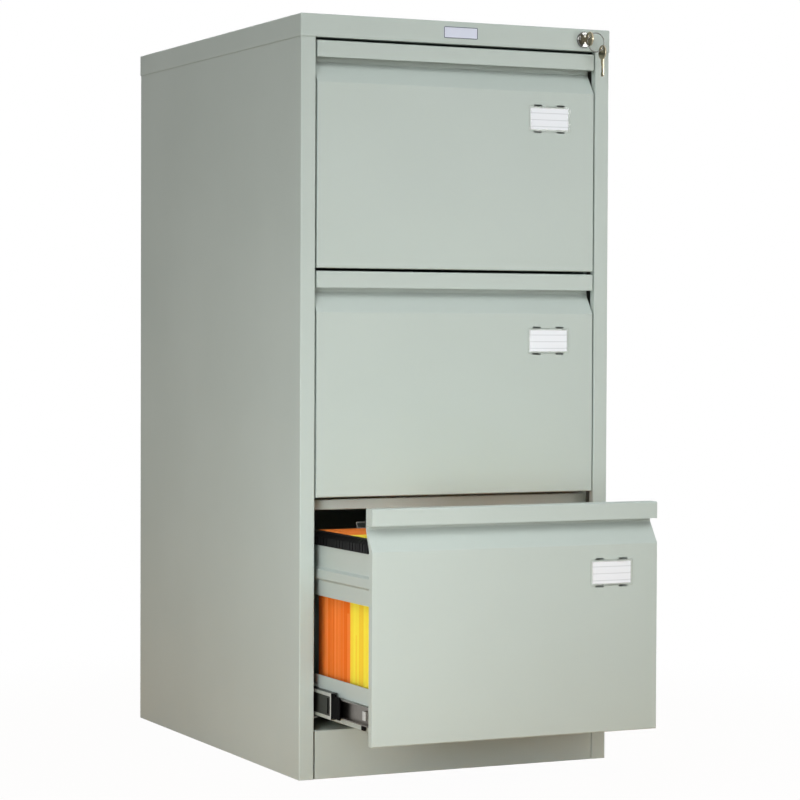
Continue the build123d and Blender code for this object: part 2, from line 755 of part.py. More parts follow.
def build_drawer_sides(drawer):
    """The two sides, with a bead, a window and a hemmed top, and the lock's catch on the right one."""
    foot_z = drawer.foot_z
    start_y = drawer.face_y + liner_rear
    end_y = drawer.face_y + drawer_rear
    bead_x = drawer_side_x + BEAD_DEPTH
    bead_top = bead_bottom + BEAD_HEIGHT
    outline = [
        (drawer_side_x - SIDE_FLANGE, foot_z + SIDE_FOOT),
        (drawer_side_x, foot_z + SIDE_FOOT),
        (drawer_side_x, foot_z + bead_bottom),
        (bead_x, foot_z + bead_bottom + BEAD_SLOPE),
        (bead_x, foot_z + bead_top - BEAD_SLOPE),
        (drawer_side_x, foot_z + bead_top),
        (drawer_side_x, foot_z + side_top),
        (drawer_side_x - SIDE_HEM, foot_z + side_top),
        (drawer_side_x - SIDE_HEM, foot_z + side_top - SIDE_HEM_DROP),
    ]
    section = sheet_profile(facing_plane(end_y), outline, SHEET)
    window_start = start_y + WINDOW_FRONT
    window_end = end_y - WINDOW_REAR
    window_spot = ((window_start + window_end) / 2, foot_z + (WINDOW_BOTTOM + window_top) / 2)
    tab_foot = foot_z + SIDE_FOOT + SHEET + bend
    tab_top = foot_z + bead_bottom
    with BuildPart() as right_side:
        extrude(section, amount=end_y - start_y)
        with BuildSketch(side_plane(drawer_inner_x)):
            with Locations(window_spot):
                RectangleRounded(window_end - window_start, window_top - WINDOW_BOTTOM, WINDOW_CORNER)
        extrude(amount=SHEET, mode=Mode.SUBTRACT)
        with BuildSketch(facing_plane(start_y)):
            with Locations((drawer_side_x - SIDE_FLANGE / 2, (tab_foot + tab_top) / 2)):
                Rectangle(SIDE_FLANGE, tab_top - tab_foot)
        extrude(amount=-SHEET)
    with BuildPart() as left_side:
        mirror(right_side.part, about=Plane.YZ)
    save(left_side, f"{drawer.name}_drawer_left_side")

    catch_y = bar_rear_y - drawer.drawn + CATCH_REAR_GAP
    catch_z = foot_z + hook_foot - bar_travel
    with BuildPart() as catch:
        with BuildSketch(Plane.XY.offset(catch_z)):
            with Locations(((drawer_side_x + catch_outer_x) / 2, catch_y + CATCH_DEPTH / 2)):
                Rectangle(catch_outer_x - drawer_side_x, CATCH_DEPTH)
        extrude(amount=HOOK_HEIGHT)
    save(right_side, f"{drawer.name}_drawer_right_side", catch)


def build_drawer_floor(drawer):
    """The bottom sheet, laid on the sides' flanges, and the back that stands on it."""
    floor_z = drawer.foot_z + SIDE_FOOT + SHEET
    start_y = drawer.face_y + liner_rear + SHEET
    end_y = drawer.face_y + drawer_rear
    with BuildPart() as bottom:
        with BuildSketch(Plane.XY.offset(floor_z)):
            with Locations((0, (start_y + end_y) / 2)):
                Rectangle(2 * (drawer_inner_x - PANEL_EDGE_GAP), end_y - start_y)
        extrude(amount=SHEET)
    save(bottom, f"{drawer.name}_drawer_bottom")

    outline = [
        (-drawer_inner_x, end_y - DRAWER_BACK_FLANGE),
        (-drawer_inner_x, end_y),
        (drawer_inner_x, end_y),
        (drawer_inner_x, end_y - DRAWER_BACK_FLANGE),
    ]
    section = sheet_profile(Plane.XY.offset(floor_z + SHEET), outline, SHEET, Side.RIGHT)
    with BuildPart() as back:
        extrude(section, amount=drawer.foot_z + back_top - floor_z - SHEET)
    save(back, f"{drawer.name}_drawer_back")


def build_drawer_slides(drawer):
    """The inner members on the drawer's sides and the middle members that run between."""
    line_z = drawer.foot_z + SLIDE_LINE
    inner_end = slide_rear_y - drawer.drawn
    inner_section = channel_section(
        facing_plane(inner_end), line_z, drawer_side_x, inner_edge_x, INNER_HALF
    )
    with BuildPart() as inner_slides:
        extrude(inner_section, amount=slide_length)
        mirror(about=Plane.YZ)
    save(inner_slides, f"{drawer.name}_drawer_inner_slides")

    mid_end = slide_rear_y - drawer.drawn * MID_SHARE
    mid_section = channel_section(facing_plane(mid_end), line_z, mid_x, mid_edge_x, mid_half)
    with BuildPart() as mid_slides:
        extrude(mid_section, amount=slide_length - MID_FRONT_SETBACK)
        mirror(about=Plane.YZ)
    save(mid_slides, f"{drawer.name}_drawer_mid_slides")


def build_ball_cages(drawer):
    """Strips of balls that run between the slide members, above and below their line."""
    line_z = drawer.foot_z + SLIDE_LINE
    cages = (
        ("outer", OUTER_BALL, mid_half, OUTER_CAGE_INSET, OUTER_CAGE_SHARE),
        ("inner", INNER_BALL, INNER_HALF, INNER_CAGE_INSET, INNER_CAGE_SHARE),
    )
    for name, ball_radius, under_half, inset, share in cages:
        rise = under_half + CAGE_CLEARANCE + ball_radius
        cage_x = slide_mount_x - inset
        start_y = slide_front_y + CAGE_START - drawer.drawn * share
        middle_y = start_y + CAGE_LENGTH / 2
        ball_pitch = CAGE_LENGTH / CAGE_BALLS
        with BuildPart() as cage:
            for up in (-1, 1):
                strip_z = line_z + up * rise
                with BuildSketch(Plane.XY.offset(strip_z)):
                    with Locations((cage_x, middle_y)):
                        Rectangle(CAGE_STRIP, CAGE_LENGTH)
                extrude(amount=CAGE_STRIP / 2, both=True)
                with Locations(Plane(origin=(cage_x, middle_y, strip_z))):
                    with GridLocations(ball_pitch, ball_pitch, 1, CAGE_BALLS):
                        Sphere(ball_radius)
            mirror(about=Plane.YZ)
        save(cage, f"{drawer.name}_drawer_{name}_cages")


def build_label(drawer):
    """The label holder, clipped into the front's slots, and the card behind it."""
    face_y = drawer.face_y
    label_z = drawer.foot_z + front_height - LABEL_DROP
    card_width = HOLDER_WIDTH - 2 * HOLDER_RIM + 2 * CARD_MARGIN
    card_height = HOLDER_HEIGHT - 2 * HOLDER_RIM + 2 * CARD_MARGIN
    with BuildPart() as holder:
        with BuildSketch(facing_plane(face_y)):
            with Locations((label_x, label_z)):
                RectangleRounded(HOLDER_WIDTH, HOLDER_HEIGHT, HOLDER_CORNER)
                Rectangle(
                    HOLDER_WIDTH - 2 * HOLDER_RIM, HOLDER_HEIGHT - 2 * HOLDER_RIM, mode=Mode.SUBTRACT
                )
        extrude(amount=HOLDER_THICKNESS)
        with BuildSketch(facing_plane(face_y)):
            with Locations((label_x, label_z)):
                Rectangle(card_width + 2 * CARD_FIT, card_height + 2 * CARD_FIT)
        extrude(amount=CARD_THICKNESS + CARD_FIT, mode=Mode.SUBTRACT)
        with BuildSketch(facing_plane(face_y)):
            with Locations(*label_spots(drawer, label_tab_rise)):
                Rectangle(LABEL_SLOT_WIDTH - 2 * LABEL_TAB_FIT, LABEL_TAB_SHEET)
        extrude(amount=-LABEL_TAB_LENGTH)
    save(holder, f"{drawer.name}_drawer_label_holder")

    with BuildPart() as card:
        with BuildSketch(facing_plane(face_y)):
            with Locations((label_x, label_z)):
                Rectangle(card_width, card_height)
        extrude(amount=CARD_THICKNESS)
    save(card, f"{drawer.name}_drawer_label_card")


def build_folders(drawer):
    """Suspension folders, each a closed pocket hung from two bars across the drawer."""
    floor_z = drawer.foot_z + SIDE_FOOT + 2 * SHEET
    rest_z = drawer.foot_z + side_top
    pocket_foot = floor_z + FOLDER_FOOT_GAP
    pocket_top = rest_z - BAR_FOOT_DROP
    pocket_half = drawer_inner_x - FOLDER_SIDE_GAP
    first_y = drawer.face_y + liner_rear + FOLDER_FRONT_GAP
    colours = (("yellow", 0, YELLOW_FOLDERS), ("orange", YELLOW_FOLDERS, ORANGE_FOLDERS))
    for colour, start, count in colours:
        with BuildPart() as pockets:
            for row in range(start, start + count):
                pocket_y = first_y + row * FOLDER_PITCH + FOLDER_THICKNESS / 2
                with BuildSketch(side_plane(-pocket_half)):
                    with Locations((pocket_y, (pocket_foot + pocket_top) / 2)):
                        pocket = Rectangle(FOLDER_THICKNESS, pocket_top - pocket_foot)
                    fillet(pocket.vertices().group_by(Axis.Y)[0], radius=FOLDER_BOTTOM_ROUND)
                extrude(amount=2 * pocket_half)
        save(pockets, f"{colour}_folders")

    hem_inner = drawer_side_x - SIDE_HEM - FOLDER_HOOK_FIT
    hook_inner = drawer_side_x + FOLDER_HOOK_FIT
    hook_outer = hook_inner + FOLDER_HOOK_SHEET
    bar_top = rest_z + BAR_TOP_RISE
    notch_spots = [(across * (hem_inner + hook_inner) / 2, rest_z - BAR_FOOT_DROP / 2) for across in (-1, 1)]
    outline = [
        (hem_inner, pocket_top),
        (hem_inner, rest_z - FOLDER_HOOK_DROP),
        (hook_outer, rest_z - FOLDER_HOOK_DROP),
        (hook_outer, bar_top),
    ]
    outline += [(-x, z) for x, z in reversed(outline)]
    with BuildPart() as folder_bars:
        for row in range(YELLOW_FOLDERS + ORANGE_FOLDERS):
            pocket_y = first_y + row * FOLDER_PITCH
            for bar_y in (pocket_y + FOLDER_BAR_SHEET, pocket_y + FOLDER_THICKNESS):
                with BuildSketch(facing_plane(bar_y)):
                    with BuildLine():
                        Polyline(*outline, close=True)
                    make_face()
                    with Locations(*notch_spots):
                        Rectangle(hook_inner - hem_inner, BAR_FOOT_DROP, mode=Mode.SUBTRACT)
                extrude(amount=FOLDER_BAR_SHEET)
    save(folder_bars, "folder_bars")


os.makedirs("parts", exist_ok=True)
build_side_panels()
build_back_panel()
build_top_cover()
build_base()
build_uprights()
build_front_rails()
build_cabinet_slides()
build_lock()
build_lock_bar()
build_keys()
build_badge_plate()
for each_drawer in drawers:
    build_drawer_front(each_drawer)
    build_front_liner(each_drawer)
    build_drawer_sides(each_drawer)
    build_drawer_floor(each_drawer)
    build_drawer_slides(each_drawer)
    build_ball_cages(each_drawer)
    build_label(each_drawer)
build_folders(drawers[-1])
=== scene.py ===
"""Dresses a three-drawer steel suspension filing cabinet, with its bottom drawer drawn out."""

import logging
import math
import random
from collections.abc import Callable, Sequence
from dataclasses import dataclass, field
from enum import Enum

import bmesh
import bpy
from mathutils import Matrix, Vector


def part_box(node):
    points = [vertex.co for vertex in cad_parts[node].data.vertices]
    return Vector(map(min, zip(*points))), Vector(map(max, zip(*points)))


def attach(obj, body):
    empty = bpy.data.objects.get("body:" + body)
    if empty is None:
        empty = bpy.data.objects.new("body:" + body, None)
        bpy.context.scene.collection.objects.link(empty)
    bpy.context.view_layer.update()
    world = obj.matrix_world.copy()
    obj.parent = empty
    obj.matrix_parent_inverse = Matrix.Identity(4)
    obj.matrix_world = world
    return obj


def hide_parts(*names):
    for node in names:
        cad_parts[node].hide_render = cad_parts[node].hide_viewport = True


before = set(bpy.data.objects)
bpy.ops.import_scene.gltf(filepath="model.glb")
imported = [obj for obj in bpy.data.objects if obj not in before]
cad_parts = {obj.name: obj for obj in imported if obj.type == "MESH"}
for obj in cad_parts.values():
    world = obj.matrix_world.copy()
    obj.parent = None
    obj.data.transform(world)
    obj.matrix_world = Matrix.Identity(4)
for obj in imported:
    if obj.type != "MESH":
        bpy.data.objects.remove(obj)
log = logging.getLogger("filing_cabinet")

MM = 0.001
MERGE_REACH = 0.001 * MM
ROUND_SEGMENTS = 2
RIM_ANGLE = 45
WHITE = "#FFFFFF"

Tree = bpy.types.ShaderNodeTree
Node = bpy.types.Node
Socket = bpy.types.NodeSocket
Shape = bmesh.types.BMesh
Edge = bmesh.types.BMEdge
Vert = bmesh.types.BMVert
Face = bmesh.types.BMFace
Flat = tuple[float, float]
Spot = tuple[float, float, float]
Place = Callable[[float, float], Vector]


class Row(Enum):
    """The drawers, from the top one down."""

    TOP = "top"
    MIDDLE = "middle"
    BOTTOM = "bottom"

    def node(self, piece: str) -> str:
        """The name of one of this drawer's pieces."""
        return f"{self.value}_drawer_{piece}"

    def body(self, piece: str) -> str:
        """The name of a body that moves with this drawer."""
        return f"{self.value}_{piece}"


class Hand(Enum):
    """The two sides of the cabinet, as seen from the front."""

    LEFT = -1
    RIGHT = 1


def linear(code: str) -> tuple[float, float, float, float]:
    """Turns a colour from sRGB to linear light, by the formula of the sRGB standard.

    Args:
        code: the colour as six hex digits after a hash sign.

    Returns:
        Red, green, blue and an alpha of 1.
    """
    parts = [int(code[at : at + 2], 16) / 255 for at in (1, 3, 5)]
    red, green, blue = [
        part / 12.92 if part <= 0.04045 else ((part + 0.055) / 1.055) ** 2.4 for part in parts
    ]
    return red, green, blue, 1.0


def add_node(
    tree: Tree,
    kind: str,
    settings: dict[str | int, object] | None = None,
    links: dict[str | int, Socket] | None = None,
    feeds: dict[str, Socket] | None = None,
) -> Node:
    """Adds one shader node, with its settings, what feeds it and what it feeds.

    Args:
        tree: the material's or the world's nodes.
        kind: the node's type.
        settings: values by the name or number of an input, or by the name of a property.
        links: the output that feeds each input, by the input's name or number.
        feeds: the input that each output feeds, by the output's name.

    Returns:
        The new node.
    """
    node = tree.nodes.new(kind)
    for key, value in (settings or {}).items():
        if isinstance(key, int) or key in node.inputs:
            node.inputs[key].default_value = value
        else:
            setattr(node, key, value)
    for key, socket in (links or {}).items():
        tree.links.new(socket, node.inputs[key])
    for key, socket in (feeds or {}).items():
        tree.links.new(node.outputs[key], socket)
    return node


@dataclass(frozen=True)
class Finish:
    """A surface finish, which makes one material."""

    name: str

    def material(self) -> bpy.types.Material:
        """Gives the finish's material, made on the first call.

        Returns:
            The material.
        """
        made = bpy.data.materials.get(self.name)
        if made is None:
            made = bpy.data.materials.new(self.name)
            made.use_nodes = True
            tree = made.node_tree
            place = add_node(tree, "ShaderNodeTexCoord").outputs["Object"]
            self.shade(tree, tree.nodes["Principled BSDF"], place)
        return made

    def shade(self, tree: Tree, shader: Node, place: Socket) -> None:
        """Sets up the shader's nodes.

        Args:
            tree: the material's nodes.
            shader: the principled shader.
            place: the point of the surface, in the object's coordinates.
        """
        raise NotImplementedError

    def coat(self, piece: bpy.types.Object) -> None:
        """Gives the finish to the whole of a piece."""
        piece.data.materials.clear()
        piece.data.materials.append(self.material())

    def dress(self, *nodes: str) -> None:
        """Gives the finish to CAD nodes, by name."""
        for name in nodes:
            self.coat(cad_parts[name])


@dataclass(frozen=True)
class PowderCoat(Finish):
    """Powder paint on sheet steel: an even satin, with the faint orange peel of its baking."""

    tone: str = "#BDC9C4"
    shade_tone: str = "#B8C4BF"
    mottle: float = 140 * MM
    roughness: float = 0.5
    gloss_drift: float = 0.05
    gloss_level: float = 0.25
    peel: float = 2.4 * MM
    peel_depth: float = 0.3 * MM
    peel_strength: float = 0.06

    def shade(self, tree: Tree, shader: Node, place: Socket) -> None:
        """Sets up the paint's slow drift of tone, its gloss and its peel.

        Args:
            tree: the material's nodes.
            shader: the principled shader.
            place: the point of the surface, in the object's coordinates.
        """
        shader.inputs["Specular IOR Level"].default_value = self.gloss_level
        drift = add_node(
            tree, "ShaderNodeTexNoise", {"Scale": 1 / self.mottle, "Detail": 3.0}, {"Vector": place}
        )
        add_node(
            tree,
            "ShaderNodeMix",
            {"data_type": "RGBA", "A": linear(self.tone), "B": linear(self.shade_tone)},
            {"Factor": drift.outputs["Fac"]},
            {"Result": shader.inputs["Base Color"]},
        )
        add_node(
            tree,
            "ShaderNodeMapRange",
            {"To Min": self.roughness - self.gloss_drift, "To Max": self.roughness + self.gloss_drift},
            {"Value": drift.outputs["Fac"]},
            {"Result": shader.inputs["Roughness"]},
        )
        peel = add_node(
            tree, "ShaderNodeTexNoise", {"Scale": 1 / self.peel, "Detail": 1.0}, {"Vector": place}
        )
        add_node(
            tree,
            "ShaderNodeBump",
            {"Strength": self.peel_strength, "Distance": self.peel_depth},
            {"Height": peel.outputs["Fac"]},
            {"Normal": shader.inputs["Normal"]},
        )


@dataclass(frozen=True)
class PlatedMetal(Finish):
    """Plated metal: bright, with the draw lines of rolled strip and a slight clouding.

    Real draw lines are finer. They are drawn this coarse so that they show.
    """

    tone: str = "#A5A39C"
    cloud_tone: str = "#85837C"
    cloud: float = 9 * MM
    roughness: float = 0.32
    smoother_by: float = 0.06
    rougher_by: float = 0.08
    line: float = 0.9 * MM
    stretch: Spot = (1.0, 0.02, 1.0)
    line_depth: float = 0.1 * MM
    line_strength: float = 0.05

    def shade(self, tree: Tree, shader: Node, place: Socket) -> None:
        """Sets up the metal's clouding and its draw lines.

        Args:
            tree: the material's nodes.
            shader: the principled shader.
            place: the point of the surface, in the object's coordinates.
        """
        shader.inputs["Metallic"].default_value = 1.0
        along = add_node(tree, "ShaderNodeMapping", {"Scale": self.stretch}, {"Vector": place})
        lines = add_node(
            tree,
            "ShaderNodeTexNoise",
            {"Scale": 1 / self.line, "Detail": 2.0},
            {"Vector": along.outputs["Vector"]},
        )
        cloud = add_node(
            tree, "ShaderNodeTexNoise", {"Scale": 1 / self.cloud, "Detail": 4.0}, {"Vector": place}
        )
        add_node(
            tree,
            "ShaderNodeMix",
            {"data_type": "RGBA", "A": linear(self.tone), "B": linear(self.cloud_tone)},
            {"Factor": cloud.outputs["Fac"]},
            {"Result": shader.inputs["Base Color"]},
        )
        add_node(
            tree,
            "ShaderNodeMapRange",
            {"To Min": self.roughness - self.smoother_by, "To Max": self.roughness + self.rougher_by},
            {"Value": lines.outputs["Fac"]},
            {"Result": shader.inputs["Roughness"]},
        )
        add_node(
            tree,
            "ShaderNodeBump",
            {"Strength": self.line_strength, "Distance": self.line_depth},
            {"Height": lines.outputs["Fac"]},
            {"Normal": shader.inputs["Normal"]},
        )


@dataclass(frozen=True)
class MouldedPlastic(Finish):
    """Moulded plastic or rubber: one deep colour, with the fine spark grain of its mould.

    Real spark grain is finer. It is drawn this coarse so that it shows.
    """

    tone: str = "#080809"
    roughness: float = 0.4
    gloss_drift: float = 0.07
    gloss_level: float = 0.01
    grain: float = 0.8 * MM
    grain_depth: float = 0.2 * MM
    grain_strength: float = 0.12

    def shade(self, tree: Tree, shader: Node, place: Socket) -> None:
        """Sets up the mould grain and the slight change of gloss.

        Args:
            tree: the material's nodes.
            shader: the principled shader.
            place: the point of the surface, in the object's coordinates.
        """
        shader.inputs["Base Color"].default_value = linear(self.tone)
        shader.inputs["Specular IOR Level"].default_value = self.gloss_level
        grain = add_node(
            tree, "ShaderNodeTexNoise", {"Scale": 1 / self.grain, "Detail": 3.0}, {"Vector": place}
        )
        add_node(
            tree,
            "ShaderNodeMapRange",
            {"To Min": self.roughness - self.gloss_drift, "To Max": self.roughness + self.gloss_drift},
            {"Value": grain.outputs["Fac"]},
            {"Result": shader.inputs["Roughness"]},
        )
        add_node(
            tree,
            "ShaderNodeBump",
            {"Strength": self.grain_strength, "Distance": self.grain_depth},
            {"Height": grain.outputs["Fac"]},
            {"Normal": shader.inputs["Normal"]},
        )


@dataclass(frozen=True)
class ClearPolystyrene(Finish):
    """Thin clear polystyrene: nearly unseen but for its gloss, with faint milky flow lines."""

    tone: str = "#DDE3DE"
    roughness: float = 0.12
    haze: float = 0.16
    haze_drift: float = 0.4
    flow: float = 14 * MM
    flow_depth: float = 0.3 * MM
    flow_strength: float = 0.05

    def shade(self, tree: Tree, shader: Node, place: Socket) -> None:
        """Sets up the clear plastic and its flow lines.

        Args:
            tree: the material's nodes.
            shader: the principled shader.
            place: the point of the surface, in the object's coordinates.
        """
        shader.inputs["Base Color"].default_value = linear(self.tone)
        shader.inputs["Roughness"].default_value = self.roughness
        flow = add_node(
            tree, "ShaderNodeTexNoise", {"Scale": 1 / self.flow, "Detail": 2.0}, {"Vector": place}
        )
        add_node(
            tree,
            "ShaderNodeMapRange",
            {"To Min": (1 - self.haze_drift) * self.haze, "To Max": (1 + self.haze_drift) * self.haze},
            {"Value": flow.outputs["Fac"]},
            {"Result": shader.inputs["Alpha"]},
        )
        add_node(
            tree,
            "ShaderNodeBump",
            {"Strength": self.flow_strength, "Distance": self.flow_depth},
            {"Height": flow.outputs["Fac"]},
            {"Normal": shader.inputs["Normal"]},
        )


@dataclass(frozen=True)
class FibreCard(Finish):
    """Uncoated board: matt, with fibres lying in its pulp, and painted shade in bands of random
    darkness, for the gaps between folders.

    Real fibres are finer. They are drawn this coarse so that they show.
    """

    tone: str = "#FFF352"
    gap_shade_tone: str = "#FCDA3E"
    # The width of each band of painted shade along the depth.
    leaf: float = 4 * MM
    roughness: float = 0.75
    gloss_level: float = 0.3
    fibre: float = 1.1 * MM
    fibre_lay: Spot = (1.0, 1.0, 0.25)
    fibre_depth: float = 0.1 * MM
    fibre_strength: float = 0.15

    def shade(self, tree: Tree, shader: Node, place: Socket) -> None:
        """Sets up the painted shade bands across the card and the tooth of the fibres.

        Args:
            tree: the material's nodes.
            shader: the principled shader.
            place: the point of the surface, in the object's coordinates.
        """
        shader.inputs["Roughness"].default_value = self.roughness
        shader.inputs["Specular IOR Level"].default_value = self.gloss_level
        lay = add_node(tree, "ShaderNodeMapping", {"Scale": self.fibre_lay}, {"Vector": place})
        fibres = add_node(
            tree,
            "ShaderNodeTexNoise",
            {"Scale": 1 / self.fibre, "Detail": 4.0},
            {"Vector": lay.outputs["Vector"]},
        )
        # Painted shade: each band along the depth gets a random darkness, for the gaps between the
        # folders.
        depth = add_node(tree, "ShaderNodeSeparateXYZ", links={"Vector": place})
        leaf = add_node(
            tree, "ShaderNodeMath", {"operation": "MULTIPLY", 1: 1 / self.leaf}, {0: depth.outputs["Y"]}
        )
        number = add_node(tree, "ShaderNodeMath", {"operation": "FLOOR"}, {0: leaf.outputs["Value"]})
        share = add_node(
            tree, "ShaderNodeTexWhiteNoise", {"noise_dimensions": "1D"}, {"W": number.outputs["Value"]}
        )
        add_node(
            tree,
            "ShaderNodeMix",
            {"data_type": "RGBA", "A": linear(self.tone), "B": linear(self.gap_shade_tone)},
            {"Factor": share.outputs["Value"]},
            {"Result": shader.inputs["Base Color"]},
        )
        add_node(
            tree,
            "ShaderNodeBump",
            {"Strength": self.fibre_strength, "Distance": self.fibre_depth},
            {"Height": fibres.outputs["Fac"]},
            {"Normal": shader.inputs["Normal"]},
        )


@dataclass(frozen=True)
class RuledCard(Finish):
    """A white index card with pale printed rules, which are spaced from the card's top edge.

    The places and widths of the rules are shares of the card's height. Real paper has a finer
    tooth, which is drawn this coarse so that it shows.
    """

    top: float = 0.0
    height: float = 30 * MM
    first_rule: float = 0.24
    rule_pitch: float = 0.305
    rule_width: float = 0.04
    tone: str = "#EBF0F6"
    rule_tone: str = "#D3D9DF"
    roughness: float = 0.6
    tooth: float = 0.8 * MM
    tooth_depth: float = 0.1 * MM
    tooth_strength: float = 0.08

    def shade(self, tree: Tree, shader: Node, place: Socket) -> None:
        """Sets up the card's rules.

        Args:
            tree: the material's nodes.
            shader: the principled shader.
            place: the point of the surface, in the object's coordinates.
        """
        shader.inputs["Roughness"].default_value = self.roughness
        pitch = self.height * self.rule_pitch
        level = self.top - self.height * self.first_rule
        midway = 0.5
        centred = add_node(
            tree,
            "ShaderNodeMapping",
            {"Location": (0, 0, midway - level / pitch), "Scale": (1, 1, 1 / pitch)},
            {"Vector": place},
        )
        height = add_node(tree, "ShaderNodeSeparateXYZ", links={"Vector": centred.outputs["Vector"]})
        part = add_node(tree, "ShaderNodeMath", {"operation": "FRACT"}, {0: height.outputs["Z"]})
        rule = add_node(
            tree,
            "ShaderNodeMath",
            {"operation": "COMPARE", 1: midway, 2: self.rule_width / self.rule_pitch / 2},
            {0: part.outputs["Value"]},
        )
        add_node(
            tree,
            "ShaderNodeMix",
            {"data_type": "RGBA", "A": linear(self.tone), "B": linear(self.rule_tone)},
            {"Factor": rule.outputs["Value"]},
            {"Result": shader.inputs["Base Color"]},
        )
        tooth = add_node(
            tree, "ShaderNodeTexNoise", {"Scale": 1 / self.tooth, "Detail": 3.0}, {"Vector": place}
        )
        add_node(
            tree,
            "ShaderNodeBump",
            {"Strength": self.tooth_strength, "Distance": self.tooth_depth},
            {"Height": tooth.outputs["Fac"]},
            {"Normal": shader.inputs["Normal"]},
        )


PAINT = PowderCoat("grey_powder_coat")
ENAMEL = PowderCoat(
    "white_enamel", tone="#D8DEEE", shade_tone="#D0D6E8", roughness=0.3, peel=1.5 * MM, mottle=20 * MM
)
ENAMEL_EDGE = PowderCoat(
    "slate_enamel", tone="#5B6572", shade_tone="#4F5865", roughness=0.35, peel=1.5 * MM, mottle=20 * MM
)
ZINC = PlatedMetal("zinc_plated_steel")
# Lightened zinc for the slides' ribs, front ends and lugs: a painted highlight over the zinc's own tone.
HIGHLIGHT_ZINC = PlatedMetal("zinc_painted_highlight", tone="#D2D1CB", cloud_tone="#B8B7B0", roughness=0.4)
# Inner slide steel: its own tone, darkened further as painted shade for the shaded channels of the inner
# members.
SLIDE_STEEL = PlatedMetal("slide_steel", tone="#85817A", cloud_tone="#67635D")
# Painted shade: the middle slide members are darkened all over, for the shade in their recessed webs.
SHADED_MID_SLIDE_STEEL = PlatedMetal("mid_slide_steel_painted_shade", tone="#42403C", cloud_tone="#32312D")
# The chrome and the plug steel are much darker than the real metals: a painted dark reflection on the
# chrome, and painted shade on the recessed plug.
DIMMED_CHROME = PlatedMetal("chrome_dimmed_for_dark_reflections", tone="#767674", cloud_tone="#565654", roughness=0.16)
DIMMED_PLUG_STEEL = PlatedMetal("plug_steel_dimmed_for_shade", tone="#8A887F", cloud_tone="#66645C", roughness=0.26)
NICKEL = PlatedMetal("nickel_plated_brass", tone="#BDB29A", cloud_tone="#9C917A", roughness=0.28)
CLEAR = ClearPolystyrene("clear_polystyrene")
CLEAR_TAB = ClearPolystyrene("clear_folder_tab", haze=0.012)
YELLOW_CARD = FibreCard("yellow_folder_card")
ORANGE_CARD = FibreCard("orange_folder_card", tone="#FF9A48", gap_shade_tone="#F47C20")
BLACK_PLASTIC = MouldedPlastic("black_polypropylene")
HOOK_NYLON = MouldedPlastic("black_nylon", roughness=0.3, gloss_level=0.1)
RUBBER = MouldedPlastic(
    "black_rubber", tone="#131313", roughness=0.72, grain=1.2 * MM, grain_strength=0.2
)


def make_object(name: str, shape: Shape) -> bpy.types.Object:
    """Turns a shape into an object of the scene.

    Args:
        name: the object's name.
        shape: its mesh, in place in the cabinet's frame. It is freed here.

    Returns:
        The new object.
    """
    mesh = bpy.data.meshes.new(name)
    shape.to_mesh(mesh)
    shape.free()
    made = bpy.data.objects.new(name, mesh)
    bpy.context.scene.collection.objects.link(made)
    return made


def make_piece(name: str, shape: Shape, body: str, finish: Finish, slot: str) -> bpy.types.Object:
    """Turns a finished shape into a piece that moves with a body.

    Args:
        name: the piece's name.
        shape: its mesh, in place in the cabinet's frame. It is freed here.
        body: the CAD body that it rides on.
        finish: its finish.
        slot: the record's material slot; not used.

    Returns:
        The new object.
    """
    bmesh.ops.remove_doubles(shape, verts=shape.verts, dist=MERGE_REACH)
    bmesh.ops.recalc_face_normals(shape, faces=shape.faces)
    piece = make_object(name, shape)
    finish.coat(piece)
    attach(piece, body)
    log.info("%s: %d faces, on %s", name, len(piece.data.polygons), body)
    return piece


def round_edges(shape: Shape, edges: list[Edge], radius: float) -> None:
    """Rounds some edges of a shape.

    Args:
        shape: the mesh that they belong to.
        edges: the edges.
        radius: the radius of the rounds.
    """
    bmesh.ops.bevel(
        shape,
        geom=edges,
        offset=radius,
        segments=ROUND_SEGMENTS,
        profile=0.5,
        affect="EDGES",
        material=-1,
    )


def add_block(shape: Shape, one: Vector, other: Vector, radius: float) -> None:
    """Adds a block with rounded edges to a shape.

    Args:
        shape: the mesh that it joins.
        one: one corner of the block.
        other: the corner opposite to it.
        radius: the radius of its edges.
    """
    size = [abs(to - start) for start, to in zip(one, other)]
    place = Matrix.Translation((one + other) / 2) @ Matrix.Diagonal((*size, 1.0))
    made = bmesh.ops.create_cube(shape, size=1.0, matrix=place)
    edges = dict.fromkeys(edge for vert in made["verts"] for edge in vert.link_edges)
    round_edges(shape, list(edges), radius)


def add_plate(
    shape: Shape, loops: Sequence[Sequence[Flat]], place: Place, across: Vector, radius: float
) -> None:
    """Adds a flat plate, cut to an outline that may have holes, to a shape.

    Args:
        shape: the mesh that it joins.
        loops: the outline and then its holes, each as corners in order.
        place: turns a corner into a point of the plate's first face.
        across: from that face to the opposite one.
        radius: the radius of the rims, or 0 for sharp ones.
    """
    near_rims = []
    for loop in loops:
        verts = [shape.verts.new(place(*corner)) for corner in loop]
        near_rims += [shape.edges.new(pair) for pair in zip(verts, verts[1:] + verts[:1])]
    filled = bmesh.ops.triangle_fill(shape, edges=near_rims, use_beauty=True)["geom"]
    faces = [item for item in filled if isinstance(item, Face)]
    copied = bmesh.ops.extrude_face_region(shape, geom=faces, use_keep_orig=True)["geom"]
    moved = dict.fromkeys(item for item in copied if isinstance(item, Vert))
    bmesh.ops.translate(shape, verts=list(moved), vec=across)
    if radius:
        far_edges = dict.fromkeys(edge for vert in moved for edge in vert.link_edges)
        far_rims = [edge for edge in far_edges if is_far_rim(edge, set(moved))]
        round_edges(shape, near_rims + far_rims, radius)


def is_far_rim(edge: Edge, moved: set[Vert]) -> bool:
    """Whether an edge joins the far face of a plate to one of its walls."""
    inside = all(vert in moved for vert in edge.verts)
    return inside and edge.calc_face_angle(0.0) > math.radians(RIM_ANGLE)


def upright(depth: float) -> Place:
    """Gives the way to place corners on an upright plane that faces the front, at a depth."""
    return lambda x, z: Vector((x, depth, z))


